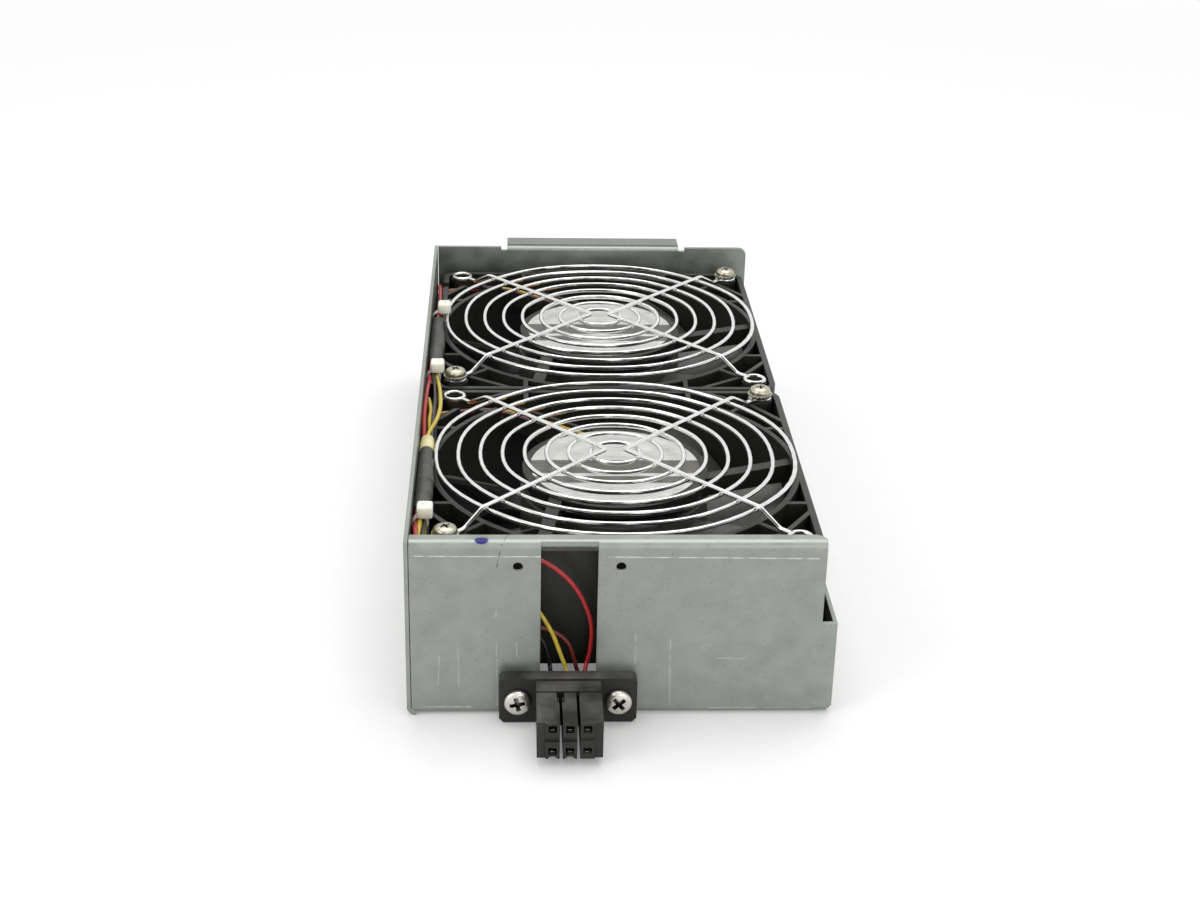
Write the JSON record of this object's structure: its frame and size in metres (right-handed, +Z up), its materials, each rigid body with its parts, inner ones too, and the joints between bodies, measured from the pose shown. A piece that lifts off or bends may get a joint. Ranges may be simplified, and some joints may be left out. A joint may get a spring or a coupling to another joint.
{
  "type": "fan assembly",
  "caption": "Bent sheet-steel fan tray of a server: axial fans in a row under wire finger guards, with a blind-mate connector and a pull lip.",
  "frame": {"origin": "underside of the tray floor, midway between the two fan axes", "axes": "+X to the right seen from the connector end, +Y from the connector end to the pull lip, +Z up, the way the guards face"},
  "size_m": [0.1255, 0.2958, 0.057],
  "materials": {
    "galvanised_steel": "bright galvanised sheet with rolling grain",
    "zinc_steel": "bright zinc plate",
    "yellow_zinc_steel": "yellow zinc plate",
    "nickel_steel": "nickel plate",
    "guard_chrome": "bright chrome plate",
    "fan_plastic": "black glass-filled moulding",
    "label_foil": "silver foil, bare",
    "board_laminate": "green solder mask",
    "core_steel": "stacked laminations",
    "coil_copper": "enamelled copper",
    "bearing_steel": "ground steel",
    "magnet_ferrite": "sintered ferrite",
    "connector_plastic": "black moulding",
    "contact_metal": "tin plate",
    "sleeve_plastic": "shrunk tubing",
    "cream_plastic": "cream moulding",
    "white_nylon": "natural nylon",
    "red_insulation": "extruded insulation",
    "yellow_insulation": "extruded insulation",
    "brown_insulation": "extruded insulation",
    "black_insulation": "extruded insulation"
  },
  "bodies": {
    "tray": {"tray": "galvanised_steel", "floor_standoffs": "zinc_steel", "fan_screws": "yellow_zinc_steel", "connector_housing": "connector_plastic", "connector_contacts": "contact_metal", "connector_screws": "nickel_steel", "rear_wire_sleeve": "sleeve_plastic", "front_wire_sleeve": "sleeve_plastic", "wire_collar": "cream_plastic", "rear_cable_tie": "white_nylon", "middle_cable_tie": "white_nylon", "front_cable_tie": "white_nylon", "rear_fan_red_wire": "red_insulation", "rear_fan_yellow_wire": "yellow_insulation", "rear_fan_black_wire": "black_insulation", "front_fan_red_wire": "red_insulation", "front_fan_yellow_wire": "yellow_insulation", "front_fan_brown_wire": "brown_insulation", "front_fan_frame": "fan_plastic", "front_fan_label": "label_foil", "front_circuit_board": "board_laminate", "front_stator_core": "core_steel", "front_stator_coils": "coil_copper", "front_upper_bearing": "bearing_steel", "front_lower_bearing": "bearing_steel", "front_finger_guard": "guard_chrome", "rear_fan_frame": "fan_plastic", "rear_fan_label": "label_foil", "rear_circuit_board": "board_laminate", "rear_stator_core": "core_steel", "rear_stator_coils": "coil_copper", "rear_upper_bearing": "bearing_steel", "rear_lower_bearing": "bearing_steel", "rear_finger_guard": "guard_chrome"},
    "front_rotor": {"front_impeller": "fan_plastic", "front_rotor_cup": "zinc_steel", "front_rotor_magnet": "magnet_ferrite", "front_rotor_shaft": "bearing_steel", "front_shaft_clip": "bearing_steel"},
    "rear_rotor": {"rear_impeller": "fan_plastic", "rear_rotor_cup": "zinc_steel", "rear_rotor_magnet": "magnet_ferrite", "rear_rotor_shaft": "bearing_steel", "rear_shaft_clip": "bearing_steel"}
  },
  "joints": [
    {"name": "front_fan_spin", "type": "hinge", "parent": "tray", "child": "front_rotor", "pos_m": [0, -0.0602, 0.0302], "axis": [0, 0, 1], "continuous": true},
    {"name": "rear_fan_spin", "type": "hinge", "parent": "tray", "child": "rear_rotor", "pos_m": [0, 0.0602, 0.0302], "axis": [0, 0, 1], "continuous": true}
  ]
}
